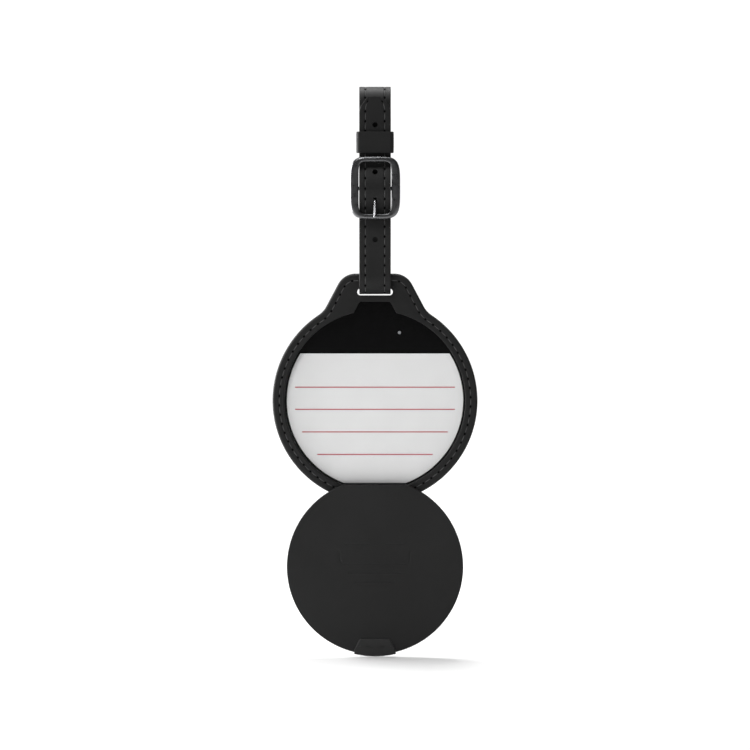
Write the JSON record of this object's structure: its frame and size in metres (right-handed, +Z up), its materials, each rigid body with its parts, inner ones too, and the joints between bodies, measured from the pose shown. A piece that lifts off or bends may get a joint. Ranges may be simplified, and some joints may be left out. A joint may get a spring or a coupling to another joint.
{
  "type": "bluetooth tracker luggage tag",
  "caption": "Round stitched leather luggage tag with a tracker module, a name card under a clear window, a fold-down privacy flap and a buckled hanging strap.",
  "frame": {"origin": "inside of the strap loop's top fold, in the middle of the strap's width, where the tag hangs from a handle", "axes": "+Z up towards the loop's top, -Y the front with the card window, +X to the right seen from the front"},
  "size_m": [0.072, 0.0186, 0.1998],
  "materials": {
    "leather_black": "fine-grained matt black coated leather",
    "leather_lining": "smooth black lining leather",
    "liner_soft": "smooth soft-touch matt liner",
    "tab_soft": "soft-touch moulded tab, slightly lighter",
    "plate_gloss": "black polished plastic",
    "shell_matte": "black moulded plastic",
    "window_clear": "clear glossy film",
    "card_white": "white card stock with ruled lines",
    "board_green": "green solder mask",
    "shield_metal": "tinned shield can",
    "chip_black": "moulded chip package",
    "antenna_ceramic": "ceramic",
    "led_clear": "milky clear plastic",
    "switch_metal": "stamped steel",
    "brass_disc": "brass disc",
    "magnet_nickel": "nickel plated",
    "cell_foil": "pouch cell foil",
    "tape_amber": "amber tape",
    "lead_red": "insulated wire",
    "lead_black": "insulated wire",
    "coil_copper": "enamelled copper",
    "ferrite_grey": "ferrite sheet",
    "board_grey": "stiff fibre board",
    "gunmetal": "gunmetal plated zinc, polished",
    "bar_steel": "plated steel"
  },
  "bodies": {
    "strap": {"strap_face": "leather_black", "strap_lining": "leather_lining"},
    "keeper": {"strap_keeper": "leather_black"},
    "buckle": {"buckle_frame": "gunmetal", "buckle_bar": "bar_steel"},
    "prong": {"buckle_prong": "bar_steel"},
    "tag": {"front_leather": "leather_black", "rim_frame": "shell_matte", "back_leather": "leather_black", "hinge_crease": "leather_black", "core_front_shell": "plate_gloss", "core_rear_shell": "shell_matte", "card_window": "window_clear", "name_card": "card_white", "circuit_board": "board_green", "radio_module": "shield_metal", "chip_antenna": "antenna_ceramic", "charge_controller": "chip_black", "status_led": "led_clear", "light_pipe": "led_clear", "pairing_switch": "switch_metal", "piezo_buzzer": "brass_disc", "latch_magnet": "magnet_nickel", "battery_cell": "cell_foil", "battery_protection_board": "tape_amber", "battery_lead_red": "lead_red", "battery_lead_black": "lead_black", "ferrite_sheet": "ferrite_grey", "charging_coil": "coil_copper", "coil_leads": "coil_copper"},
    "button": {"pairing_button": "shell_matte"},
    "flap": {"flap_skin": "leather_black", "flap_board": "board_grey", "flap_liner": "liner_soft", "flap_tab": "tab_soft", "flap_magnet": "magnet_nickel"}
  },
  "joints": [
    {"name": "tag_swing", "type": "hinge", "parent": "strap", "child": "tag", "pos_m": [0, 0, -0.0646], "axis": [1, 0, 0], "range_deg": [-80, 80]},
    {"name": "flap_fold", "type": "hinge", "parent": "tag", "child": "flap", "pos_m": [0, -0.0023, -0.13735], "axis": [-1, 0, 0], "range_deg": [0, 180]},
    {"name": "keeper_slide", "type": "slide", "parent": "strap", "child": "keeper", "axis": [0, 0, 1], "range_m": [-0.0008, 0.009]},
    {"name": "buckle_tilt", "type": "hinge", "parent": "strap", "child": "buckle", "pos_m": [0, -0.0076, -0.03382], "axis": [1, 0, 0], "range_deg": [-1.5, 1.5]},
    {"name": "prong_lift", "type": "hinge", "parent": "buckle", "child": "prong", "pos_m": [0, -0.0076, -0.03382], "axis": [-1, 0, 0], "range_deg": [0, 9]},
    {"name": "pairing_press", "type": "slide", "parent": "tag", "child": "button", "axis": [0, -1, 0], "range_m": [0, 0.00025], "stiffness_N_per_m": 600}
  ]
}
